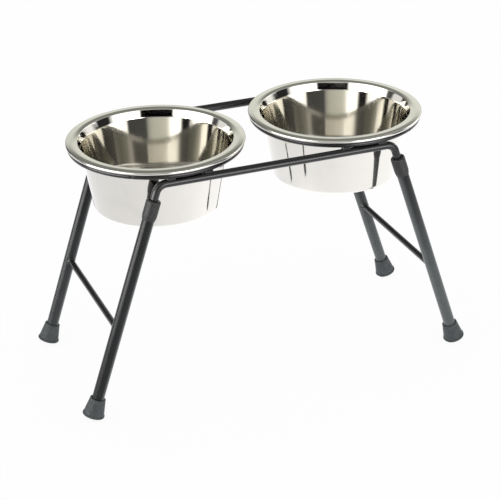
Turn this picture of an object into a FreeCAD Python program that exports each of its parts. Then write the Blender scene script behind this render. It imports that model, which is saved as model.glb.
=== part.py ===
import FreeCAD, Part
import math
import os

# Elevated stand for two bowls. Two bent rails carry a ring for each bowl, and a leg frame
# at each end pushes onto the rails' turned-down tails.
# Millimetres and degrees. X runs along the stand, Y from front to back, Z up from the floor.

# Bowls
rim_diameter = 210.0
rim_bead_diameter = 3.6
bowl_height = 81.0
bowl_sheet = 0.6
bowl_wall_lean = 11.9
bowl_corner_round = 5.0
bowl_step_height = 8.2
bowl_step_lean = 3.65
bowl_step_round = 9.0
bowl_shoulder_round = 0.6
bowl_rim_crown = 0.8
bowl_crown_inset = 7.6
bowl_crown_round = 32.0
bowl_gap = 18.6
bowl_ring_clearance = 5.6
bowl_seat_gap = 0.2

# Rails and rings
rail_diameter = 9.5
rail_height = 280.3
rail_bend_radius = 13.0
rail_neck = 8.6
rail_end_chamfer = 0.8
rail_inset = 2.2
rail_turn_offset = 30.8
ring_rod_diameter = 6.5
ring_rim_overhang = 4.6
ring_rail_gap = 0.8
ring_joint_gap = 0.8
ring_joint_angle = 34.0

# Welds
ring_weld_diameter = 6.6
ring_weld_length = 11.0
ring_weld_end_round = 2.0
ring_weld_step = 2.2
stretcher_weld_leg = 2.2
weld_fit = 0.05

# Leg frames
leg_splay = 18.33
leg_tube_wall = 1.2
stretcher_diameter = 7.5
stretcher_height = 109.2
stretcher_root_gap = 0.2

# Sleeves: a cap over the tube's end, with a blind bush inside the tube
sleeve_wall = 1.35
sleeve_length = 24.5
sleeve_taper_length = 5.0
sleeve_end_wall = 0.5
sleeve_taper_round = 4.0
sleeve_cap = 4.0
sleeve_lip_round = 2.6
bush_wall = 1.05
socket_depth = 36.0
socket_floor = 2.0
socket_clearance = 0.1
tube_fit = 0.05

# Feet
foot_height = 22.3
foot_floor = 6.0
foot_top_wall = 2.1
foot_top_round = 0.6
foot_flare = 3.0
foot_flange = 2.4
foot_flange_lip = 0.8
foot_flange_round = 0.7
foot_squash = 1.2

# Edges shorter than this are left out of an outline
shortest_edge = 0.0001

# Worked out from the sizes above
rim_radius = rim_diameter / 2
bead_radius = rim_bead_diameter / 2
rail_radius = rail_diameter / 2
ring_rod_radius = ring_rod_diameter / 2
stretcher_radius = stretcher_diameter / 2
bowl_x = (rim_diameter + bowl_gap) / 2

splay = math.radians(leg_splay)
bend_turn = math.pi / 2 - splay
bend_run = rail_bend_radius * math.tan(bend_turn / 2)
turn_x = bowl_x + rail_turn_offset

ring_radius = rim_radius - ring_rim_overhang
ring_height = rail_height + rail_radius + ring_rail_gap + ring_rod_radius
rail_y = ring_radius - rail_inset

bead_reach = ring_rod_radius + bead_radius + bowl_seat_gap
bead_offset = rim_radius - bead_radius - ring_radius
bead_height = ring_height + math.sqrt(bead_reach ** 2 - bead_offset ** 2)
rim_height = bead_height + bead_radius

bore_radius = rail_radius + socket_clearance
bush_radius = bore_radius + bush_wall
tube_inner_radius = bush_radius + tube_fit
tube_radius = tube_inner_radius + leg_tube_wall
cup_radius = tube_radius + tube_fit
sleeve_radius = cup_radius + sleeve_wall
foot_top_radius = cup_radius + foot_top_wall
foot_cone_radius = foot_top_radius + foot_flare
foot_base_radius = foot_cone_radius + foot_flange_lip

# Distances along a leg's axis are counted down from the point where it meets the rail's axis
sleeve_top = bend_run + rail_neck
tube_top = sleeve_top + sleeve_cap
rail_end = sleeve_top + socket_depth
foot_base_height = foot_base_radius * math.sin(splay) - foot_squash
leg_length = (rail_height - foot_base_height) / math.cos(splay)
stretcher_x = turn_x + (rail_height - stretcher_height) * math.tan(splay)

SIDES = {"left": -1, "right": 1}
ROWS = {"front": -1, "back": 1}


def vec(x, y, z):
    return FreeCAD.Vector(x, y, z)


X_AXIS = vec(1, 0, 0)
Y_AXIS = vec(0, 1, 0)
Z_AXIS = vec(0, 0, 1)
ORIGIN = vec(0, 0, 0)


def rounded_corner(before, corner, after, radius):
    """Start, middle and end of the arc that rounds a corner between two straight lines."""
    back = (before - corner).normalize()
    ahead = (after - corner).normalize()
    half_angle = back.getAngle(ahead) / 2
    run = radius / math.tan(half_angle)
    bisector = (back + ahead).normalize()
    middle_run = radius / math.sin(half_angle) - radius
    return corner + back * run, corner + bisector * middle_run, corner + ahead * run


def corners_beside(points, distance):
    """Inner corners of the line that runs beside a line in the XZ plane, at a distance to its left."""
    corners = []
    for before, corner, after in zip(points, points[1:], points[2:]):
        left_before = (corner - before).normalize().cross(Y_AXIS)
        left_after = (after - corner).normalize().cross(Y_AXIS)
        both = left_before + left_after
        corners.append(corner + both * (distance / (1 + left_before.dot(left_after))))
    return corners


def turned(corners):
    """Solid of revolution about Z. Each corner of the outline is (radius, height, rounding)."""
    points = [vec(r, 0, z) for r, z, _ in corners]
    edges = []
    starts = []
    ends = []
    for i, (_, _, rounding) in enumerate(corners):
        if rounding > 0:
            after = points[(i + 1) % len(points)]
            start, middle, end = rounded_corner(points[i - 1], points[i], after, rounding)
            edges.append(Part.Arc(start, middle, end).toShape())
        else:
            start = points[i]
            end = points[i]
        starts.append(start)
        ends.append(end)
    for i, end in enumerate(ends):
        start = starts[(i + 1) % len(starts)]
        if end.distanceToPoint(start) > shortest_edge:
            edges.append(Part.LineSegment(end, start).toShape())
    outline = Part.Wire(Part.__sortEdges__(edges))
    return Part.Face(outline).revolve(ORIGIN, Z_AXIS, 360)


def on_leg(shape, side, row):
    """Lay a shape that was made along Z, hanging from the origin, on one leg's axis."""
    top = vec(side * turn_x, row * rail_y, rail_height)
    tilt = FreeCAD.Rotation(Y_AXIS, -side * leg_splay)
    placed = shape.copy()
    placed.Placement = FreeCAD.Placement(top, tilt)
    return placed


def leg_point(side, row, distance):
    """Point on a leg's axis, at a distance down from the rail's axis."""
    x = side * (turn_x + distance * math.sin(splay))
    return vec(x, row * rail_y, rail_height - distance * math.cos(splay))


def rod(radius, start, end):
    """Straight round bar between two points."""
    return Part.makeCylinder(radius, start.distanceToPoint(end), start, end - start)


def largest(shape):
    """The main solid that a cut leaves."""
    return max(shape.Solids, key=lambda solid: solid.Volume)


def rail(row):
    """Round bar with both ends bent down along the leg axes and chamfered."""
    path = [leg_point(-1, row, rail_end)]
    edges = []
    for side in (-1, 1):
        level = vec(side * (turn_x - bend_run), row * rail_y, rail_height)
        corner = leg_point(side, row, 0)
        slope = leg_point(side, row, bend_run)
        ends = (slope, level) if side < 0 else (level, slope)
        _, middle, _ = rounded_corner(ends[0], corner, ends[1], rail_bend_radius)
        edges.append(Part.LineSegment(path[-1], ends[0]).toShape())
        edges.append(Part.Arc(ends[0], middle, ends[1]).toShape())
        path.append(ends[1])
    tail = leg_point(1, row, rail_end)
    edges.append(Part.LineSegment(path[-1], tail).toShape())
    section = Part.Wire(Part.makeCircle(rail_radius, path[0], leg_point(-1, row, 0) - path[0]))
    bar = Part.Wire(edges).makePipeShell([section], True, False)
    end_edges = [edge for edge in bar.Edges if is_rail_end(edge, (path[0], tail))]
    return bar.makeChamfer(rail_end_chamfer, end_edges)


def is_rail_end(edge, tails):
    """Whether an edge is the rim of one of the rail's end faces."""
    centre = edge.BoundBox.Center
    return any(centre.distanceToPoint(tail) < rail_end_chamfer for tail in tails)


def ring(side, joint_gap):
    """Bar bent to a circle, with its two ends facing each other across a small joint."""
    centre = vec(side * bowl_x, 0, ring_height)
    section = Part.Face(Part.Wire(Part.makeCircle(ring_rod_radius, vec(ring_radius, 0, 0), Y_AXIS)))
    gap_angle = math.degrees(joint_gap / ring_radius)
    bar = section.revolve(ORIGIN, Z_AXIS, 360 - gap_angle)
    joint_at = side * ring_joint_angle - 90
    turn = FreeCAD.Rotation(Z_AXIS, joint_at + gap_angle / 2)
    bar.Placement = FreeCAD.Placement(centre, turn)
    return bar


def ring_welds(side):
    """Beads between one ring and the rails under it, near the middle and near the bend."""
    inner_reach = math.sqrt(ring_radius ** 2 - (rail_y - ring_weld_step) ** 2)
    outer_reach = rail_turn_offset - bend_run - ring_weld_length / 2
    ring_bar = Part.makeTorus(ring_radius, ring_rod_radius + weld_fit, vec(side * bowl_x, 0, ring_height))
    beads = []
    for row in ROWS.values():
        start = vec(-turn_x, row * rail_y, rail_height)
        rail_bar = rod(rail_radius + weld_fit, start, vec(turn_x, row * rail_y, rail_height))
        for reach in (-inner_reach, outer_reach):
            ring_y = math.sqrt(ring_radius ** 2 - reach ** 2)
            y = row * (rail_y + ring_y) / 2
            z = rail_height + rail_radius + ring_rail_gap / 2
            middle = vec(side * (bowl_x + reach), y, z)
            half = vec(ring_weld_length / 2, 0, 0)
            bead = rod(ring_weld_diameter / 2, middle - half, middle + half)
            bead = bead.makeFillet(ring_weld_end_round, round_edges(bead))
            beads.append(largest(bead.cut(ring_bar).cut(rail_bar)))
    return Part.makeCompound(beads)


def round_edges(shape):
    """The circular edges of a bar's two ends."""
    return [edge for edge in shape.Edges if isinstance(edge.Curve, Part.Circle)]


def bowl(side):
    """Spun sheet bowl: flat floor, leaning wall, a short flared step below the rim, and a slightly
    crowned rim that ends in a rolled bead."""
    base = rim_height - bowl_height
    shoulder = rim_height - bowl_sheet
    crown = shoulder + bowl_rim_crown
    step_foot = shoulder - bowl_step_height
    shoulder_radius = ring_radius - ring_rod_radius - bowl_ring_clearance
    step_radius = shoulder_radius - bowl_step_lean
    wall_foot_radius = step_radius - bowl_wall_lean
    crown_radius = rim_radius - bowl_crown_inset
    bead_inside = rim_radius - rim_bead_diameter
    bead_bottom = rim_height - rim_bead_diameter
    bead_top = shoulder + bowl_rim_crown * rim_bead_diameter / bowl_crown_inset
    outside = [
        vec(0, 0, base),
        vec(wall_foot_radius, 0, base),
        vec(step_radius, 0, step_foot),
        vec(shoulder_radius, 0, shoulder),
        vec(crown_radius, 0, crown),
        vec(bead_inside, 0, bead_top),
    ]
    wall_foot_in, step_in, shoulder_in, crown_in = corners_beside(outside, bowl_sheet)
    shell = turned([
        (0, base, 0),
        (wall_foot_radius, base, bowl_corner_round),
        (step_radius, step_foot, bowl_step_round),
        (shoulder_radius, shoulder, bowl_shoulder_round),
        (crown_radius, crown, bowl_crown_round),
        (bead_inside, bead_top, 0),
        (bead_inside, bead_bottom, bead_radius),
        (rim_radius, bead_bottom, bead_radius),
        (rim_radius, rim_height, bead_radius),
        (crown_in.x, crown_in.z, bowl_crown_round + bowl_sheet),
        (shoulder_in.x, shoulder_in.z, bowl_shoulder_round + bowl_sheet),
        (step_in.x, step_in.z, bowl_step_round - bowl_sheet),
        (wall_foot_in.x, wall_foot_in.z, bowl_corner_round - bowl_sheet),
        (0, base + bowl_sheet, 0),
    ])
    shell.translate(vec(side * bowl_x, 0, 0))
    return shell


def leg_tube(side, row):
    """Straight tube from under the sleeve's cap to the foot's floor."""
    length = leg_length - foot_floor - tube_top
    bottom = vec(0, 0, foot_floor - leg_length)
    outside = Part.makeCylinder(tube_radius, length, bottom)
    return on_leg(outside.cut(Part.makeCylinder(tube_inner_radius, length, bottom)), side, row)


def sleeve(side, row):
    """Moulded cap over the tube's end, with a blind bush inside the tube that takes the rail's tail."""
    taper_top = -sleeve_top - sleeve_length + sleeve_taper_length
    skirt_end = -sleeve_top - sleeve_length
    bush_floor = -sleeve_top - socket_depth
    bush_end = bush_floor - socket_floor
    moulding = turned([
        (bore_radius, -sleeve_top, 0),
        (sleeve_radius, -sleeve_top, sleeve_lip_round),
        (sleeve_radius, taper_top, sleeve_taper_round),
        (cup_radius + sleeve_end_wall, skirt_end, 0),
        (cup_radius, skirt_end, 0),
        (cup_radius, -tube_top, 0),
        (bush_radius, -tube_top, 0),
        (bush_radius, bush_end, 0),
        (0, bush_end, 0),
        (0, bush_floor, 0),
        (bore_radius, bush_floor, 0),
    ])
    return on_leg(moulding, side, row)


def foot(side, row):
    """Rubber ferrule on the tube's end, pressed flat where its inner edge meets the floor."""
    base = -leg_length
    flange_top = base + foot_flange
    top = base + foot_height
    cup_floor = base + foot_floor
    ferrule = on_leg(turned([
        (0, base, 0),
        (foot_base_radius, base, foot_flange_round),
        (foot_base_radius, flange_top, foot_flange_round),
        (foot_cone_radius, flange_top, 0),
        (foot_top_radius, top, foot_top_round),
        (cup_radius, top, 0),
        (cup_radius, cup_floor, 0),
        (0, cup_floor, 0),
    ]), side, row)
    under = leg_point(side, row, leg_length)
    reach = 2 * foot_base_radius
    floor = Part.makeBox(2 * reach, 2 * reach, reach, vec(under.x - reach, under.y - reach, -reach))
    return ferrule.cut(floor).Solids[0]


def stretcher(side):
    """Bar between the two tubes of one leg frame, with coped ends."""
    ends = [vec(side * stretcher_x, row * rail_y, stretcher_height) for row in ROWS.values()]
    bar = rod(stretcher_radius, ends[0], ends[1])
    for row in ROWS.values():
        bar = bar.cut(leg_bar(side, row, tube_radius + stretcher_root_gap))
    return largest(bar)


def leg_bar(side, row, radius):
    """Solid bar along the whole of one leg's axis."""
    return rod(radius, leg_point(side, row, 0), leg_point(side, row, leg_length))


def stretcher_welds(side):
    """Fillet beads round both ends of a stretcher."""
    beads = []
    for row in ROWS.values():
        tube_centre = vec(side * stretcher_x, row * rail_y, stretcher_height)
        inward = Y_AXIS * -row
        outer = stretcher_radius + stretcher_weld_leg
        collar = Part.makeCylinder(outer, tube_radius, tube_centre, inward)
        cone_start = tube_centre + inward * tube_radius
        cone = Part.makeCone(outer, stretcher_radius + weld_fit, stretcher_weld_leg, cone_start, inward)
        bar = rod(stretcher_radius + weld_fit, tube_centre, vec(tube_centre.x, 0, stretcher_height))
        bead = collar.fuse(cone).removeSplitter()
        bead = bead.cut(bar).cut(leg_bar(side, row, tube_radius + weld_fit))
        beads.append(largest(bead))
    return Part.makeCompound(beads)


def all_nodes():
    """Every piece of the stand, by name."""
    nodes = {}
    for row_name, row in ROWS.items():
        nodes[f"{row_name}_rail"] = rail(row)
    for side_name, side in SIDES.items():
        nodes[f"{side_name}_ring"] = ring(side, ring_joint_gap)
        nodes[f"{side_name}_ring_welds"] = ring_welds(side)
        nodes[f"{side_name}_bowl"] = bowl(side)
        nodes[f"{side_name}_stretcher"] = stretcher(side)
        nodes[f"{side_name}_stretcher_welds"] = stretcher_welds(side)
        for row_name, row in ROWS.items():
            nodes[f"{side_name}_{row_name}_leg_tube"] = leg_tube(side, row)
            nodes[f"{side_name}_{row_name}_sleeve"] = sleeve(side, row)
            nodes[f"{side_name}_{row_name}_foot"] = foot(side, row)
    return nodes


os.makedirs("parts", exist_ok=True)
for name, shape in all_nodes().items():
    shape.exportStep(f"parts/{name}.step")
    print(name, len(shape.Solids), "solids", round(shape.Volume, 1), "mm3", shape.isValid())
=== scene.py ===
import math

import bpy
import numpy as np
from mathutils import Matrix


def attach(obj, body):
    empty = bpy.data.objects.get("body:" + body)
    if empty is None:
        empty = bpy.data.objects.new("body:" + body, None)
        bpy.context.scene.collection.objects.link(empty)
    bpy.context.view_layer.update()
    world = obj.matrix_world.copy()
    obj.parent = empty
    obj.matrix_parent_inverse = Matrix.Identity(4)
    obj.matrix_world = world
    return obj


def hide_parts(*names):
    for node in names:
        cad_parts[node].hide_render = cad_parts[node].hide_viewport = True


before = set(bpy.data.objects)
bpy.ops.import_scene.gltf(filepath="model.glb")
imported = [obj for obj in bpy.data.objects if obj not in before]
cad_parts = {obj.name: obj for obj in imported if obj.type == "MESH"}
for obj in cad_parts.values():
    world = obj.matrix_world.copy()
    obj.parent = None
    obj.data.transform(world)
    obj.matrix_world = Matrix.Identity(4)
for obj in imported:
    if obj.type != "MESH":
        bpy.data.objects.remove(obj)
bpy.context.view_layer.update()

# Sizes in metres, the same as the frame's. X along the stand, Y from front to back, Z up.
mm = 0.001
SIDES = {"left": -1, "right": 1}
ROWS = {"front": -1, "back": 1}

rim_radius, bead_radius, bowl_height, sheet = 105.0 * mm, 1.8 * mm, 81.0 * mm, 0.6 * mm
wall_top, step_drop, step_lean, wall_lean = 91.55 * mm, 8.2 * mm, 3.65 * mm, 11.9 * mm
corner_round, step_round, shoulder_round = 5.0 * mm, 9.0 * mm, 0.6 * mm
rim_crown, crown_inset, crown_round = 0.8 * mm, 7.6 * mm, 32.0 * mm
bowl_x, rim_height = 114.3 * mm, 295.344 * mm

rail_radius, rail_height, rail_y, rail_bend = 4.75 * mm, 280.3 * mm, 98.2 * mm, 13.0 * mm
turn_x, rail_end, rail_chamfer = 145.1 * mm, 53.99 * mm, 0.8 * mm
ring_radius, ring_rod, ring_height, ring_rail_gap = 100.4 * mm, 3.25 * mm, 289.1 * mm, 0.8 * mm
joint_gap, joint_angle, joint_round = 0.8 * mm, 34.0, 0.5 * mm
ring_weld_half, ring_weld_radius, ring_weld_round, ring_weld_step = 5.5 * mm, 3.3 * mm, 2.0 * mm, 2.2 * mm
ring_weld_pitch, ring_weld_ripple = 1.8 * mm, 0.05

splay = math.radians(18.33)
leg_length, tube_radius, tube_bore = 292.205 * mm, 7.15 * mm, 5.95 * mm
tube_edge = 0.15 * mm
sleeve_top, sleeve_length, sleeve_radius, sleeve_cap = 17.994 * mm, 24.5 * mm, 8.55 * mm, 4.0 * mm
sleeve_end_wall, sleeve_taper, sleeve_taper_round, sleeve_lip_round = 0.5 * mm, 5.0 * mm, 4.0 * mm, 2.6 * mm
cup_radius, bush_radius, bore_radius = 7.2 * mm, 5.9 * mm, 4.85 * mm
socket_depth, socket_floor = 36.0 * mm, 2.0 * mm
foot_height, foot_floor, foot_top, foot_cone, foot_base = 22.3 * mm, 6.0 * mm, 9.3 * mm, 12.3 * mm, 13.1 * mm
flange, flange_round, foot_collar, foot_top_round = 2.4 * mm, 0.7 * mm, 1.5 * mm, 0.6 * mm
stretcher_radius, stretcher_height, root_gap = 3.75 * mm, 109.2 * mm, 0.2 * mm
stretcher_x = turn_x + (rail_height - stretcher_height) * math.tan(splay)
weld_leg, weld_fit, weld_bulge, weld_ripple, weld_ripples = 2.2 * mm, 0.05 * mm, 0.35 * mm, 0.16 * mm, 13


# Shapes

def outline(corners, step=2.0 * mm, arc_step=5.0):
    """Points of a flat outline through corners (x, y, rounding): each rounding is a circular arc
    tangent to both neighbouring lines, cut every few degrees, and the lines between are cut every step."""
    at = np.array([c[:2] for c in corners], float)
    runs = [at[:1]]
    for i in range(1, len(corners) - 1):
        rounding = corners[i][2]
        if rounding <= 0:
            runs.append(at[i:i + 1])
            continue
        back = (at[i - 1] - at[i]) / np.linalg.norm(at[i - 1] - at[i])
        ahead = (at[i + 1] - at[i]) / np.linalg.norm(at[i + 1] - at[i])
        half = math.acos(float(np.clip(back @ ahead, -1, 1))) / 2
        middle = (back + ahead) / np.linalg.norm(back + ahead)
        centre = at[i] + middle * rounding / math.sin(half)
        sweep = math.pi / 2 - half
        count = max(5, int(math.degrees(2 * sweep) / arc_step) + 2, int(2 * sweep * rounding / step) + 2)
        turn = np.linspace(-sweep, sweep, count)[:, None]
        across = (ahead - back) / np.linalg.norm(ahead - back)
        runs.append(centre - rounding * (middle * np.cos(turn) - across * np.sin(turn)))
    runs.append(at[-1:])
    line = np.concatenate(runs)
    gaps = np.linalg.norm(np.diff(line, axis=0), axis=1)
    pieces = np.maximum(1, np.ceil(gaps / step).astype(int))
    start = np.repeat(np.arange(len(gaps)), pieces)
    share = (np.arange(len(start)) - np.repeat(np.cumsum(pieces) - pieces, pieces)) / pieces[start]
    fine = line[start] + (line[start + 1] - line[start]) * share[:, None]
    return np.concatenate([fine, line[-1:]])


def skin(rings, first=None, last=None, loop=False):
    """Closed skin over rings of points (rows, around, 3): neighbouring points of neighbouring rings make
    quads, a first or last point closes an end with triangles, and loop joins the last ring to the first.
    The map is (turns round the ring, metres along the rows)."""
    rows, around = rings.shape[:2]
    along = np.concatenate([[0], np.cumsum(np.linalg.norm(np.diff(rings, axis=0), axis=2).mean(1))])
    i = np.arange(rows if loop else rows - 1)[:, None]
    j = np.arange(around)[None, :]
    below, above, right = i * around, (i + 1) % rows * around, (j + 1) % around
    quads = np.stack([below + j, below + right, above + right, above + j], -1).reshape(-1, 4)
    low = np.broadcast_to(along[i], (len(i), around))
    high = np.broadcast_to(np.append(along, along[-1] + along[1])[i + 1], (len(i), around))
    u0 = np.broadcast_to(j / around, low.shape)
    u1 = u0 + 1 / around
    quad_map = np.stack([u0, low, u1, low, u1, high, u0, high], -1).reshape(-1, 4, 2)
    points, fans, fan_maps = [rings.reshape(-1, 3)], [], []
    j = np.arange(around)
    right = (j + 1) % around
    for pole, row, order in ((first, 0, (right, j)), (last, rows - 1, (j, right))):
        if pole is None:
            continue
        tip = np.full(around, sum(len(p) for p in points))
        points.append(np.asarray(pole, float).reshape(1, 3))
        fans.append(np.stack([tip, row * around + order[0], row * around + order[1]], -1))
        reach = along[row] + np.linalg.norm(rings[row, 0] - pole) * (1 if row else -1)
        edge = np.full(around, along[row])
        fan_maps.append(np.stack([(j + 0.5) / around, np.full(around, reach), order[0] / around, edge,
                                  order[1] / around, edge], -1).reshape(-1, 3, 2))
    return {"points": np.concatenate(points), "quads": quads, "quad_map": quad_map,
            "fans": np.concatenate(fans) if fans else np.zeros((0, 3), int),
            "fan_map": np.concatenate(fan_maps) if fan_maps else np.zeros((0, 3, 2))}


def turned(profile, around=96, closed=False):
    """Surface of revolution about Z: each profile point (radius, height) runs round a full circle.
    An open profile starts and ends on the axis, and its two ends become poles."""
    turn = np.arange(around) * (2 * math.pi / around)
    body = profile if closed else profile[1:-1]
    rings = np.stack([body[:, :1] * np.cos(turn), body[:, :1] * np.sin(turn),
                      np.repeat(body[:, 1:], around, 1)], -1)
    if closed:
        return rings, None, None
    return rings, np.array([0, 0, profile[0, 1]]), np.array([0, 0, profile[-1, 1]])


def bar(path, radius, flat_normal, around=40, end_round=0.4 * mm):
    """Round bar along a path in one plane: every ring is a circle square to the path, its centre on the
    path, and both ends are rounded off by a quarter circle and closed by a point."""
    ahead = np.gradient(path, axis=0)
    ahead /= np.linalg.norm(ahead, axis=1)[:, None]
    quarter = np.linspace(0, math.pi / 2, 5)[:-1, None]
    start = path[0] - ahead[0] * (end_round * np.cos(quarter))
    end = path[-1] + ahead[-1] * (end_round * np.cos(quarter[::-1]))
    ease = radius - end_round * (1 - np.sin(quarter[:, 0]))
    centres = np.concatenate([start, path, end])
    ahead = np.concatenate([np.repeat(ahead[:1], 4, 0), ahead, np.repeat(ahead[-1:], 4, 0)])
    radii = np.concatenate([ease, np.full(len(path), radius), ease[::-1]])[:, None, None]
    across = np.cross(flat_normal, ahead)
    turn = (np.arange(around) * (2 * math.pi / around))[None, :, None]
    spokes = across[:, None] * np.cos(turn) + np.asarray(flat_normal) * np.sin(turn)
    rings = centres[:, None] + radii * spokes
    return skin(rings, centres[0], centres[-1])


def on_leg(points, side, row):
    """Points made along Z, hanging from the origin, tilted by the splay about Y and moved to a leg's top."""
    tilt = -side * splay
    x, y, z = points[..., 0], points[..., 1], points[..., 2]
    return np.stack([x * math.cos(tilt) + z * math.sin(tilt) + side * turn_x, y + row * rail_y,
                     z * math.cos(tilt) - x * math.sin(tilt) + rail_height], -1)


def mesh_piece(name, skins, body, node, material, crease=40.0):
    """One object at the origin from one or more closed skins, shaded smooth up to a crease angle."""
    starts = np.cumsum([0] + [len(s["points"]) for s in skins[:-1]])
    points = np.concatenate([s["points"] for s in skins])
    quads = np.concatenate([s["quads"] + n for s, n in zip(skins, starts)])
    fans = np.concatenate([s["fans"] + n for s, n in zip(skins, starts)])
    mesh = bpy.data.meshes.new(name)
    mesh.from_pydata(points, [], quads.tolist() + fans.tolist())
    maps = np.concatenate([s["quad_map"].reshape(-1, 2) for s in skins]
                          + [s["fan_map"].reshape(-1, 2) for s in skins])
    mesh.uv_layers.new(name="surface").data.foreach_set("uv", maps.astype(np.float32).ravel())
    mesh.shade_smooth()
    mesh.set_sharp_from_angle(angle=math.radians(crease))
    mesh.materials.append(material)
    piece = bpy.data.objects.new(name, mesh)
    bpy.context.scene.collection.objects.link(piece)
    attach(piece, body)
    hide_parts(node)
    return piece


# Node helpers

def add(tree, kind, links=(), **settings):
    """A node with its settings; links gives (input, value or other node's socket)."""
    node = tree.nodes.new(kind)
    for key, value in settings.items():
        setattr(node, key, value)
    for key, value in links:
        if isinstance(value, bpy.types.NodeSocket):
            tree.links.new(value, node.inputs[key])
        else:
            node.inputs[key].default_value = value
    return node


def math_node(tree, operation, *values):
    """A Math node of one operation; returns its result."""
    node = add(tree, "ShaderNodeMath", enumerate(values), operation=operation)
    return node.outputs[0]


def split(tree, vector):
    """The X, Y and Z of a vector."""
    return add(tree, "ShaderNodeSeparateXYZ", [(0, vector)]).outputs


def noise(tree, where, size, detail, **more):
    """Noise over a place, at a size and a detail; returns its value."""
    links = [("Vector", where), ("Scale", size), ("Detail", detail)]
    links += [(key.capitalize(), value) for key, value in more.items()]
    return add(tree, "ShaderNodeTexNoise", links).outputs[0]


def bands(tree, along, size):
    """Noise along one direction only; returns its value."""
    links = [("W", along), ("Scale", size), ("Detail", 2.0)]
    return add(tree, "ShaderNodeTexNoise", links, noise_dimensions="1D").outputs[0]


def object_place(tree):
    """Object coordinates, which stay with a piece."""
    return add(tree, "ShaderNodeTexCoord").outputs["Object"]


def along_profile(tree):
    """Metres along the profile, from the surface's own map."""
    return split(tree, add(tree, "ShaderNodeUVMap", uv_map="surface").outputs[0])[1]


def face_normal(tree):
    """X, Y and Z of the way a face looks."""
    return split(tree, add(tree, "ShaderNodeNewGeometry").outputs["Normal"])


def ranged(tree, value, low, high, to_low, to_high):
    """A value mapped from one range to another with soft ends."""
    links = zip(range(5), (value, low, high, to_low, to_high))
    return add(tree, "ShaderNodeMapRange", links, interpolation_type="SMOOTHSTEP").outputs[0]


def ramp(tree, factor, stops, interpolation="LINEAR"):
    """A colour ramp; each stop is (place, colour)."""
    node = add(tree, "ShaderNodeValToRGB", [(0, factor)])
    node.color_ramp.interpolation = interpolation
    elements = node.color_ramp.elements
    elements[0].position, elements[0].color = stops[0][0], (*stops[0][1], 1)
    elements[1].position, elements[1].color = stops[-1][0], (*stops[-1][1], 1)
    for place, colour in stops[1:-1]:
        elements.new(place).color = (*colour, 1)
    return node.outputs[0]


def mixed(tree, factor, first, second):
    """Two colours mixed by a factor."""
    node = add(tree, "ShaderNodeMix", data_type="RGBA")
    for socket, value in ((node.inputs[0], factor), (node.inputs[6], first), (node.inputs[7], second)):
        if isinstance(value, bpy.types.NodeSocket):
            tree.links.new(value, socket)
        else:
            socket.default_value = value
    return node.outputs[2]


def group(name, inputs, outputs):
    """An empty shader node group with named float inputs (name, default) and named outputs (name, type)."""
    tree = bpy.data.node_groups.new(name, "ShaderNodeTree")
    for label, value in inputs:
        tree.interface.new_socket(label, in_out="INPUT", socket_type="NodeSocketFloat").default_value = value
    for label, kind in outputs:
        tree.interface.new_socket(label, in_out="OUTPUT", socket_type=kind)
    return tree, tree.nodes.new("NodeGroupInput"), tree.nodes.new("NodeGroupOutput")


def place(tree, shared, **values):
    """A shared group placed in a material with its own values."""
    node = add(tree, "ShaderNodeGroup", node_tree=shared)
    for key, value in values.items():
        node.inputs[key.replace("_", " ")].default_value = value
    return node


# Shared effects

def make_dust():
    """Thin dust: soft noise, stronger on faces that look up."""
    tree, given, out = group("settled_dust", [("size", 40.0), ("amount", 0.5)], [("mask", "NodeSocketFloat")])
    cloud = noise(tree, object_place(tree), given.outputs["size"], 6.0, roughness=0.65)
    patch = ranged(tree, cloud, 0.38, 0.72, 0.0, 1.0)
    facing = ranged(tree, face_normal(tree)[2], -0.3, 0.95, 0.15, 1.0)
    mask = math_node(tree, "MULTIPLY", math_node(tree, "MULTIPLY", patch, facing), given.outputs["amount"])
    tree.links.new(mask, out.inputs[0])
    return tree


def make_grain():
    """Fine surface grain: two noises of different size added to a height, and a slow blotch mask."""
    tree, given, out = group("fine_grain", [("size", 600.0), ("blotch size", 60.0)],
                             [("height", "NodeSocketFloat"), ("blotch", "NodeSocketFloat")])
    where = object_place(tree)
    coarse = noise(tree, where, given.outputs["size"], 3.0)
    fine = noise(tree, where, math_node(tree, "MULTIPLY", given.outputs["size"], 3.1), 2.0)
    tree.links.new(math_node(tree, "MULTIPLY_ADD", fine, 0.35, coarse), out.inputs[0])
    slow = noise(tree, where, given.outputs["blotch size"], 4.0)
    tree.links.new(ranged(tree, slow, 0.3, 0.7, 0.0, 1.0), out.inputs[1])
    return tree


def make_handling():
    """Handling marks: long thin scuffs from stretched noise, and soft smudges."""
    tree, given, out = group("handling_marks", [("smudge size", 22.0)],
                             [("scuffs", "NodeSocketFloat"), ("smudges", "NodeSocketFloat")])
    where = object_place(tree)
    stretched = add(tree, "ShaderNodeMapping", [("Vector", where), ("Rotation", (0.4, 0.7, 0.3)),
                                                ("Scale", (260.0, 18.0, 34.0))]).outputs[0]
    tree.links.new(ranged(tree, noise(tree, stretched, 4.0, 2.0), 0.66, 0.74, 0.0, 1.0), out.inputs[0])
    soft = noise(tree, where, given.outputs["smudge size"], 5.0, distortion=0.6)
    tree.links.new(ranged(tree, soft, 0.45, 0.75, 0.0, 1.0), out.inputs[1])
    return tree


dust, grain, handling = make_dust(), make_grain(), make_handling()


def material(name):
    """A new node material; returns it, its tree and its Principled shader."""
    made = bpy.data.materials.new(name)
    made.use_nodes = True
    return made, made.node_tree, made.node_tree.nodes["Principled BSDF"]


def bumped(tree, shader, height, strength, distance):
    """A Bump node between a height and the shader's normal."""
    bump = add(tree, "ShaderNodeBump", [("Height", height), ("Strength", strength), ("Distance", distance)])
    tree.links.new(bump.outputs[0], shader.inputs["Normal"])


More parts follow.
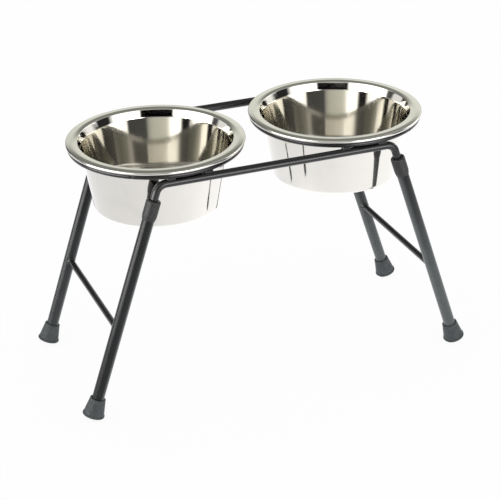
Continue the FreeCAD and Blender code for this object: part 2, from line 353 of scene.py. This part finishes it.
def make_steel():
    """Polished spun stainless sheet: near-mirror, warm grey, with faint spinning lines round the bowl."""
    made, tree, shader = material("polished_spun_stainless")
    lines = bands(tree, along_profile(tree), 5200.0)
    marks = place(tree, handling, smudge_size=26.0)
    polish = ranged(tree, lines, 0.3, 0.75, 0.03, 0.075)
    hazed = math_node(tree, "MULTIPLY_ADD", marks.outputs["smudges"], 0.035, polish)
    scuffed = math_node(tree, "MULTIPLY_ADD", marks.outputs["scuffs"], 0.06, hazed)
    half_lines = math_node(tree, "MULTIPLY", lines, 0.5)
    tone = math_node(tree, "MULTIPLY_ADD", marks.outputs["smudges"], 0.5, half_lines)
    colour = ramp(tree, tone, [(0.1, (0.713, 0.695, 0.642)), (0.9, (0.668, 0.65, 0.597))])
    tree.links.new(colour, shader.inputs["Base Color"])
    tree.links.new(scuffed, shader.inputs["Roughness"])
    shader.inputs["Metallic"].default_value = 1.0
    return made


def make_paint(name, painted_reflection):
    """Black sprayed paint on bar and tube: satin, with orange peel, thin dust and a few scuffs. Tube paint
    also
    gets a painted reflection: it turns paler towards the floor, more at the right end, and on the faces that
    look inward."""
    made, tree, shader = material(name)
    peel = place(tree, grain, size=520.0, blotch_size=45.0)
    dusty = place(tree, dust, size=40.0, amount=0.3)
    marks = place(tree, handling, smudge_size=40.0)
    blotch = peel.outputs["blotch"]
    fresh = ramp(tree, blotch, [(0.0, (0.003, 0.0032, 0.0033)), (1.0, (0.005, 0.0052, 0.0052))])
    scuffs = math_node(tree, "MULTIPLY", marks.outputs["scuffs"], 0.35)
    scuffed = mixed(tree, scuffs, fresh, (0.05, 0.05, 0.05, 1))
    film = math_node(tree, "MULTIPLY", dusty.outputs["mask"], 0.15)
    colour = mixed(tree, film, scuffed, (0.12, 0.12, 0.115, 1))
    # Painted reflection: tube paint is painted paler low down, at the right end and on inward faces, where
    # the bright floor is mirrored.
    if painted_reflection:
        x, y, z = split(tree, object_place(tree))
        outward = math_node(tree, "MULTIPLY", face_normal(tree)[0], x)
        inward = ranged(tree, outward, -0.14, -0.02, 1.0, 0.0)
        right_end = ranged(tree, math_node(tree, "MULTIPLY_ADD", y, 0.6, x), -0.32, 0.05, 0.0, 1.0)
        rise = math_node(tree, "MULTIPLY_ADD", y, 0.25, z)
        low = math_node(tree, "MULTIPLY", ranged(tree, rise, 0.03, 0.23, 0.9, 0.0), right_end)
        inside = math_node(tree, "MULTIPLY_ADD", inward, 0.8, math_node(tree, "MULTIPLY", low, 0.3))
        patchy = ranged(tree, blotch, 0.0, 1.0, 0.85, 1.0)
        painted_reflection_mask = math_node(tree, "MULTIPLY", math_node(tree, "MAXIMUM", low, inside), patchy)
        colour = mixed(tree, painted_reflection_mask, colour, (0.112, 0.124, 0.125, 1))
    gloss = ranged(tree, blotch, 0.0, 1.0, 0.22, 0.28)
    rough = math_node(tree, "MULTIPLY_ADD", dusty.outputs["mask"], 0.2, gloss)
    shader.inputs["IOR"].default_value = 1.34 if painted_reflection else 1.48
    tree.links.new(colour, shader.inputs["Base Color"])
    tree.links.new(rough, shader.inputs["Roughness"])
    bumped(tree, shader, peel.outputs["height"], 0.06, 0.0002)
    return made


def make_moulding():
    """Matte black moulded plastic: fine spark-eroded grain, slightly brown, dust in the grain."""
    made, tree, shader = material("black_moulded_plastic")
    skin_grain = place(tree, grain, size=1500.0, blotch_size=70.0)
    dusty = place(tree, dust, size=120.0, amount=0.6)
    shades = [(0.0, (0.006, 0.0055, 0.005)), (1.0, (0.011, 0.010, 0.0092))]
    plastic = ramp(tree, skin_grain.outputs["blotch"], shades)
    film = math_node(tree, "MULTIPLY", dusty.outputs["mask"], 0.12)
    colour = mixed(tree, film, plastic, (0.1, 0.095, 0.088, 1))
    height = skin_grain.outputs["height"]
    tree.links.new(colour, shader.inputs["Base Color"])
    tree.links.new(ranged(tree, height, 0.4, 1.0, 0.46, 0.58), shader.inputs["Roughness"])
    bumped(tree, shader, height, 0.25, 0.0002)
    return made


def make_rubber():
    """Dark grey moulded rubber: matte, faint mould bands round the ferrule, scuffed and dusty low down."""
    made, tree, shader = material("dark_grey_rubber")
    mould_bands = bands(tree, along_profile(tree), 420.0)
    skin_grain = place(tree, grain, size=1100.0, blotch_size=90.0)
    dusty = place(tree, dust, size=150.0, amount=0.8)
    blotch = math_node(tree, "MULTIPLY", skin_grain.outputs["blotch"], 0.45)
    tone = math_node(tree, "MULTIPLY_ADD", mould_bands, 0.55, blotch)
    rubber = ramp(tree, tone, [(0.25, (0.033, 0.039, 0.041)), (0.8, (0.054, 0.063, 0.066))])
    low = ranged(tree, split(tree, object_place(tree))[2], 0.0, 0.012, 0.5, 0.15)
    grime = math_node(tree, "MULTIPLY", dusty.outputs["mask"], low)
    colour = mixed(tree, grime, rubber, (0.19, 0.185, 0.175, 1))
    height = skin_grain.outputs["height"]
    tree.links.new(colour, shader.inputs["Base Color"])
    tree.links.new(ranged(tree, height, 0.4, 1.0, 0.55, 0.7), shader.inputs["Roughness"])
    bumped(tree, shader, height, 0.3, 0.0003)
    return made


steel, moulding, rubber = make_steel(), make_moulding(), make_rubber()
paint, tube_paint = make_paint("black_sprayed_paint", False), make_paint("tube_paint_painted_reflection", True)


# Pieces

def build_rail(row_name, row):
    """Bent rail: a bar along tail, bend, long level run, bend and tail, in one upright plane."""
    def down(side, distance):
        return side * (turn_x + distance * math.sin(splay)), rail_height - distance * math.cos(splay)
    tail = rail_end - rail_chamfer
    corners = [(*down(-1, tail), 0), (*down(-1, 0), rail_bend), (*down(1, 0), rail_bend), (*down(1, tail), 0)]
    flat = outline(corners, step=6.0 * mm, arc_step=2.5)
    path = np.stack([flat[:, 0], np.full(len(flat), row * rail_y), flat[:, 1]], -1)
    mesh_piece(f"{row_name}_bent_rail", [bar(path, rail_radius, (0.0, 1.0, 0.0), 48, rail_chamfer)],
               "rail_frame", f"{row_name}_rail", paint)


def build_ring(side_name, side):
    """Bowl ring: a bar along a circle, left open by the small gap of its butt joint."""
    half_gap = (joint_gap / 2 + joint_round) / ring_radius
    start = math.radians(side * joint_angle - 90) + half_gap
    turn = np.linspace(start, start + 2 * math.pi - 2 * half_gap, 241)
    path = np.stack([side * bowl_x + ring_radius * np.cos(turn), ring_radius * np.sin(turn),
                     np.full(len(turn), ring_height)], -1)
    mesh_piece(f"{side_name}_bowl_ring", [bar(path, ring_rod, (0.0, 0.0, 1.0), 36, joint_round)],
               "rail_frame", f"{side_name}_ring", paint)


def build_ring_welds(side_name, side):
    """Weld beads between a ring and the rails: short bars along X with rounded ends, whose radius swells and
    shrinks along the bead like the ripples of a weld."""
    inner = math.sqrt(ring_radius ** 2 - (rail_y - ring_weld_step) ** 2)
    outer = turn_x - bowl_x - rail_bend * math.tan((math.pi / 2 - splay) / 2) - ring_weld_half
    profile = outline([
        (0, -ring_weld_half, 0), (ring_weld_radius, -ring_weld_half, ring_weld_round),
        (ring_weld_radius, ring_weld_half, ring_weld_round), (0, ring_weld_half, 0)], step=0.25 * mm)
    profile[:, 0] *= 1 - ring_weld_ripple * (1 + np.cos(profile[:, 1] * (2 * math.pi / ring_weld_pitch)))
    rings, first, last = turned(profile, 40)
    beads = []
    for row in ROWS.values():
        for reach in (-inner, outer):
            y = row * (rail_y + math.sqrt(ring_radius ** 2 - reach ** 2)) / 2
            middle = np.array([side * (bowl_x + reach), y, rail_height + rail_radius + ring_rail_gap / 2])
            beads.append(skin(*(points[..., [2, 0, 1]] + middle for points in (rings, first, last))))
    mesh_piece(f"{side_name}_ring_weld_beads", beads, "rail_frame", f"{side_name}_ring_welds",
               paint)


def beside(line, distance):
    """Inner corners of the line that runs at a distance to the left of a line of points: each moves along
    the sum of its two neighbouring normals, by the distance over one plus their product."""
    ahead = np.diff(line, axis=0)
    ahead /= np.linalg.norm(ahead, axis=1)[:, None]
    left = np.stack([-ahead[:, 1], ahead[:, 0]], -1)
    before, after = left[:-1], left[1:]
    return line[1:-1] + distance * (before + after) / (1 + (before * after).sum(1))[:, None]


def build_bowl(side_name, side):
    """Spun bowl: one profile turned about its axis, from the middle of the base up the outside, under the rim
    and round its rolled bead, over the crowned rim and shoulder, and down the step and wall to the floor."""
    base, top = rim_height - bowl_height, rim_height
    under = top - sheet
    step_radius = wall_top - step_lean
    bead_in, bead_low = rim_radius - 2 * bead_radius, top - 2 * bead_radius
    outer = np.array([(0, base), (step_radius - wall_lean, base), (step_radius, under - step_drop),
                      (wall_top, under), (rim_radius - crown_inset, under + rim_crown),
                      (bead_in, under + rim_crown * 2 * bead_radius / crown_inset)])
    foot_in, step_in, shoulder_in, crown_in = beside(outer, sheet)
    bead_round, bead_seam = 0.999 * bead_radius, 0.15 * mm
    profile = outline([
        (*outer[0], 0), (*outer[1], corner_round), (*outer[2], step_round), (*outer[3], shoulder_round),
        (*outer[4], crown_round), (*outer[5], bead_seam), (bead_in, bead_low, bead_round),
        (rim_radius, bead_low, bead_round), (rim_radius, top, bead_round), (*crown_in, crown_round + sheet),
        (*shoulder_in, shoulder_round + sheet), (*step_in, step_round - sheet),
        (*foot_in, corner_round - sheet), (0, base + sheet, 0)],
        step=3.2 * mm, arc_step=3.5)
    rings, first, last = turned(profile, 288)
    shift = np.array([side * bowl_x, 0, 0])
    mesh_piece(f"{side_name}_spun_bowl", [skin(rings + shift, first + shift, last + shift)],
               f"{side_name}_bowl", f"{side_name}_bowl", steel, 60.0)


def build_leg(side_name, side, row_name, row):
    """Leg tube, push-on sleeve and rubber foot: three profiles turned about the leg's axis and laid on it.
    The foot is cut flat where it stands on the floor."""
    body, leg = f"{side_name}_leg_frame", f"{side_name}_{row_name}"

    def lay(profile, around, closed):
        rings, first, last = turned(profile, around, closed)
        if closed:
            return skin(on_leg(rings, side, row), loop=True)
        return skin(on_leg(rings, side, row), on_leg(first, side, row), on_leg(last, side, row))

    top, bottom = -(sleeve_top + sleeve_cap), foot_floor - leg_length
    middle = (tube_radius, (top + bottom) / 2)
    tube = outline([
        (*middle, 0), (tube_radius, top, tube_edge), (tube_bore, top, tube_edge),
        (tube_bore, bottom, tube_edge), (tube_radius, bottom, tube_edge), (*middle, 0)],
        step=5.0 * mm, arc_step=20.0)[:-1]
    mesh_piece(f"{leg}_tube", [lay(tube, 56, True)], body, f"{leg}_leg_tube", tube_paint)

    lip, skirt = -sleeve_top, -sleeve_top - sleeve_length
    bush_floor = lip - socket_depth
    bush_end = bush_floor - socket_floor
    sleeve = outline([
        (0, bush_end, 0), (bush_radius, bush_end, 0.3 * mm), (bush_radius, top, 0.1 * mm),
        (cup_radius, top, 0.1 * mm), (cup_radius, skirt, 0.12 * mm),
        (cup_radius + sleeve_end_wall, skirt, sleeve_end_wall / 2),
        (sleeve_radius, skirt + sleeve_taper, sleeve_taper_round), (sleeve_radius, lip, sleeve_lip_round),
        (bore_radius, lip, 0.3 * mm), (bore_radius, bush_floor, 0.2 * mm), (0, bush_floor, 0)],
        step=1.0 * mm, arc_step=6.0)
    mesh_piece(f"{leg}_push_sleeve", [lay(sleeve, 72, False)], body, f"{leg}_sleeve",
               moulding)

    base = -leg_length
    seam, rise = base + flange, base + foot_height
    foot = outline([
        (0, base, 0), (foot_base, base, flange_round), (foot_base, seam, flange_round),
        (foot_cone - 0.25 * mm, seam, 0.2 * mm), (foot_cone - 0.1 * mm, seam + 0.9 * mm, 0.3 * mm),
        (foot_top + 0.05 * mm, rise - foot_collar, 0.4 * mm), (foot_top, rise, foot_top_round),
        (cup_radius, rise, 0.2 * mm), (cup_radius, base + foot_floor, 0.2 * mm), (0, base + foot_floor, 0)],
        step=0.8 * mm, arc_step=8.0)
    laid = lay(foot, 96, False)
    laid["points"][:, 2] = np.maximum(laid["points"][:, 2], 0)
    mesh_piece(f"{leg}_rubber_foot", [laid], body, f"{leg}_foot", rubber)


def tube_face(side, radius, turn, reach):
    """How far from a leg's axis, along Y, a tube of the given radius is met by a line beside the stretcher's
    axis: by Pythagoras from the line's distance to the plane through the leg's axis and Y."""
    away = reach * (np.cos(turn) * math.cos(splay) + np.sin(turn) * side * math.sin(splay))
    return np.sqrt(radius ** 2 - away ** 2)


def build_stretcher(side_name, side):
    """Stretcher bar: circles along Y whose end rings follow the round of the tubes."""
    turn = np.arange(48) * (2 * math.pi / 48)
    cope = rail_y - tube_face(side, tube_radius + root_gap, turn, stretcher_radius)
    share = np.linspace(1, -1, 41)[:, None]
    rings = np.stack(np.broadcast_arrays(side * stretcher_x + stretcher_radius * np.cos(turn), share * cope,
                                         stretcher_height + stretcher_radius * np.sin(turn)), -1)
    back, front = (np.array([side * stretcher_x, end * (rail_y - tube_radius - root_gap), stretcher_height])
                   for end in (1, -1))
    mesh_piece(f"{side_name}_stretcher_bar", [skin(rings, back, front)],
               f"{side_name}_leg_frame", f"{side_name}_stretcher", paint)


def build_stretcher_welds(side_name, side):
    """Fillet welds: a bulging three-sided section carried round each end of the stretcher, one side on the
    bar, one on the tube, with ripples round the crown."""
    around = 72
    turn = np.arange(around) * (2 * math.pi / around)
    crown = np.linspace(0, 1, 9)[:, None]
    bulge = (weld_bulge + weld_ripple * np.cos(turn * weld_ripples)) * np.sin(math.pi * crown) * 0.7
    reach_bar, reach_toe = stretcher_radius + weld_fit, stretcher_radius + weld_leg
    toe = tube_face(side, tube_radius + weld_fit, turn, reach_toe)
    root = tube_face(side, tube_radius + weld_fit, turn, reach_bar)
    on_bar = np.maximum(root, tube_radius) + weld_leg
    reach = np.minimum(reach_toe + (reach_bar - reach_toe) * crown + bulge, reach_toe)
    reach = np.concatenate([np.full((1, around), reach_bar), reach])
    away = np.concatenate([root[None], toe + (on_bar - toe) * crown + bulge])
    beads = []
    for row in ROWS.values():
        rings = np.stack([side * stretcher_x + reach * np.cos(turn), row * (rail_y - away),
                          stretcher_height + reach * np.sin(turn)], -1)
        beads.append(skin(rings if row > 0 else rings[::-1], loop=True))
    mesh_piece(f"{side_name}_stretcher_weld_beads", beads, f"{side_name}_leg_frame",
               f"{side_name}_stretcher_welds", paint)


for row_name, row in ROWS.items():
    build_rail(row_name, row)
for side_name, side in SIDES.items():
    build_ring(side_name, side)
    build_ring_welds(side_name, side)
    build_bowl(side_name, side)
    build_stretcher(side_name, side)
    build_stretcher_welds(side_name, side)
    for row_name, row in ROWS.items():
        build_leg(side_name, side, row_name, row)


# Floor, light and camera

def build_floor():
    """Plain pale studio floor: a flat square, white to the camera with a trace of shadow. In reflections it
    glows with a painted pool of light, a little brighter under the stand and towards the right."""
    mesh = bpy.data.meshes.new("studio_floor")
    reach = 1.7
    corners = [(-reach, -reach, 0), (reach, -reach, 0), (reach, reach, 0), (-reach, reach, 0)]
    mesh.from_pydata(corners, [], [(0, 1, 2, 3)])
    made = bpy.data.materials.new("pale_floor")
    made.use_nodes = True
    tree = made.node_tree
    tree.nodes.clear()
    where = object_place(tree)
    mottled = ramp(tree, noise(tree, where, 3.0, 4.0), [(0.2, (0.84, 0.84, 0.84)), (0.8, (0.87, 0.87, 0.87))])
    matt = add(tree, "ShaderNodeBsdfDiffuse", [("Color", mottled)])
    ray = add(tree, "ShaderNodeLightPath").outputs
    x, y, _ = split(tree, where)
    # Painted pool of light: the floor's glow in reflections is raised towards the right and under the stand.
    painted_side_glow = ranged(tree, x, -0.6, 0.5, 0.0, 0.35)
    along = ranged(tree, math_node(tree, "ABSOLUTE", x), 0.1, 0.35, 1.0, 0.0)
    across = ranged(tree, math_node(tree, "ABSOLUTE", y), 0.05, 0.3, 1.0, 0.0)
    under = math_node(tree, "MULTIPLY", along, across)
    painted_light_pool = math_node(tree, "MULTIPLY_ADD", under, 0.25, painted_side_glow)
    lift = math_node(tree, "MULTIPLY_ADD", ray["Is Glossy Ray"], painted_light_pool, 1.0)
    tint = mixed(tree, ray["Is Glossy Ray"], (1, 1, 1, 1), (1, 1, 1.04, 1))
    glow = add(tree, "ShaderNodeEmission", [("Color", tint), ("Strength", lift)])
    seen = math_node(tree, "MAXIMUM", ray["Is Camera Ray"], ray["Is Glossy Ray"])
    share = math_node(tree, "MULTIPLY", seen, 0.93)
    both = add(tree, "ShaderNodeMixShader", [(0, share), (1, matt.outputs[0]), (2, glow.outputs[0])])
    end = add(tree, "ShaderNodeOutputMaterial")
    tree.links.new(both.outputs[0], end.inputs[0])
    mesh.materials.append(made)
    floor = bpy.data.objects.new("studio_floor", mesh)
    bpy.context.scene.collection.objects.link(floor)


def bearing(*stops):
    """Ramp stops from (degrees, brightness or colour): 0 is the front, positive towards the right end."""
    return [(0.5 + at / 360, (shade,) * 3 if np.isscalar(shade) else shade) for at, shade in stops]


def cream(shade):
    """A warm white of a brightness."""
    return 1.02 * shade, shade, 0.96 * shade


def pale(shade):
    """A faintly green white of a brightness."""
    return 0.98 * shade, shade, 0.92 * shade


def build_light():
    """Soft white studio all round. Polished metal also sees its white screens and dark gaps, laid out by
    bearing in bands of height, with a softer edge between bands towards the back."""
    world = bpy.data.worlds.new("soft_white_studio")
    bpy.context.scene.world = world
    world.use_nodes = True
    tree = world.node_tree
    tree.nodes.clear()
    x, y, z = split(tree, add(tree, "ShaderNodeTexCoord").outputs["Generated"])
    turn = math_node(tree, "ARCTAN2", x, math_node(tree, "MULTIPLY", y, -1.0))
    around = math_node(tree, "MULTIPLY_ADD", turn, 0.5 / math.pi, 0.5)
    height = math_node(tree, "MULTIPLY", math_node(tree, "ARCSINE", z), 180 / math.pi)
    floor_level = ramp(tree, around, bearing(
        (-180, 0.12), (-170, 0.1), (-163, 0.01), (-151, 0.01), (-146, 0.2), (-128, 0.2), (-123, 0.02),
        (-114, 0.02), (-108, 1.7), (-66, 1.7), (-50, 0.3), (-36, 0.06), (-4, 0.06), (6, 1.5), (32, 1.5),
        (44, 0.29), (52, 0.29), (58, 0.005), (80, 0.005), (90, 0.24), (100, 0.24), (112, 0.13), (170, 0.13),
        (180, 0.12)))
    lower = ramp(tree, around, bearing(
        (-180, 0.13), (-175, 0.08), (-171, 0.024), (-128, 0.02), (-116, 0.02), (-110, 0.48), (-76, 0.6),
        (-60, 0.48), (-48, 0.36), (-45, 0.0), (3, 0.0), (6, 0.44), (46, 0.44), (50, 0.24), (56, 0.005),
        (76, 0.005), (81, 0.24), (86, 0.64), (112, 0.6), (118, 0.38), (126, pale(0.24)), (135, pale(0.206)),
        (150, pale(0.194)), (165, pale(0.18)), (174, pale(0.16)), (180, pale(0.13))))
    upper = ramp(tree, around, bearing(
        (-180, 0.048), (-172, 0.032), (-145, 0.044), (-134, 0.12), (-125, 0.32), (-115, 0.48), (-100, 0.54),
        (-80, 0.54), (-72, 0.4), (-62, cream(0.325)), (-45, cream(0.288)), (-20, cream(0.262)),
        (0, cream(0.235)), (20, cream(0.21)), (25, 0.045), (40, 0.04), (75, 0.04), (87, 0.055), (95, 0.11),
        (104, 0.16), (114, 0.13), (122, pale(0.095)), (140, pale(0.072)), (152, pale(0.057)),
        (172, pale(0.05)), (180, 0.048)))
    high = ramp(tree, around, bearing(
        (-180, 0.05), (-150, 0.05), (-125, 0.25), (-105, 0.32), (-92, 0.16), (-70, cream(0.12)),
        (0, cream(0.12)), (20, 0.1), (40, 0.06), (60, 0.12), (108, 0.15), (122, 0.12), (140, 0.05),
        (180, 0.05)))
    overhead = (0.085, 0.085, 0.083, 1)
    edge = ranged(tree, y, -0.25, 0.05, 29.2, 23.8)
    soft = ranged(tree, y, -0.25, 0.05, 1.0, 3.0)
    over = math_node(tree, "DIVIDE", math_node(tree, "SUBTRACT", height, edge), soft)
    sky = mixed(tree, ranged(tree, height, 10.5, 12.5, 0.0, 1.0), floor_level, lower)
    sky = mixed(tree, ranged(tree, over, -1.0, 1.0, 0.0, 1.0), sky, upper)
    sky = mixed(tree, ranged(tree, height, 42.0, 48.0, 0.0, 1.0), sky, high)
    sky = mixed(tree, ranged(tree, height, 68.0, 74.0, 0.0, 1.0), sky, overhead)
    ray = add(tree, "ShaderNodeLightPath").outputs
    mirror = add(tree, "ShaderNodeBackground", [("Color", sky), ("Strength", 5.0)])
    plain = add(tree, "ShaderNodeBackground", [("Color", (1, 1, 1, 1)), ("Strength", 1.05)])
    shares = [(0, ray["Is Glossy Ray"]), (1, plain.outputs[0]), (2, mirror.outputs[0])]
    both = add(tree, "ShaderNodeMixShader", shares)
    end = add(tree, "ShaderNodeOutputWorld")
    tree.links.new(both.outputs[0], end.inputs[0])


def build_camera():
    """Camera at the photograph's place: a long lens, panned, tipped down and rolled a little."""
    standpoint, sensor, lens = (-0.656, -1.686, 1.0197), 36.0, 117.86
    pan, tip, roll = math.radians(-21.30), math.radians(26.28), math.radians(-1.0)
    look = np.array([-math.sin(pan) * math.cos(tip), math.cos(pan) * math.cos(tip), -math.sin(tip)])
    right = np.array([math.cos(pan), math.sin(pan), 0])
    up = np.cross(right, look)
    right, up = math.cos(roll) * right + math.sin(roll) * up, math.cos(roll) * up - math.sin(roll) * right
    data = bpy.data.cameras.new("photo_camera")
    data.sensor_width, data.lens, data.clip_end = sensor, lens, 50.0
    camera = bpy.data.objects.new("photo_camera", data)
    turn = np.eye(4)
    turn[:3, 0], turn[:3, 1], turn[:3, 2], turn[:3, 3] = right, up, -look, standpoint
    camera.matrix_world = Matrix(turn.tolist())
    bpy.context.scene.collection.objects.link(camera)
    bpy.context.scene.camera = camera


build_floor()
build_light()
build_camera()
bpy.context.scene.view_settings.view_transform = "Standard"
bpy.context.scene.cycles.glossy_bounces = 9
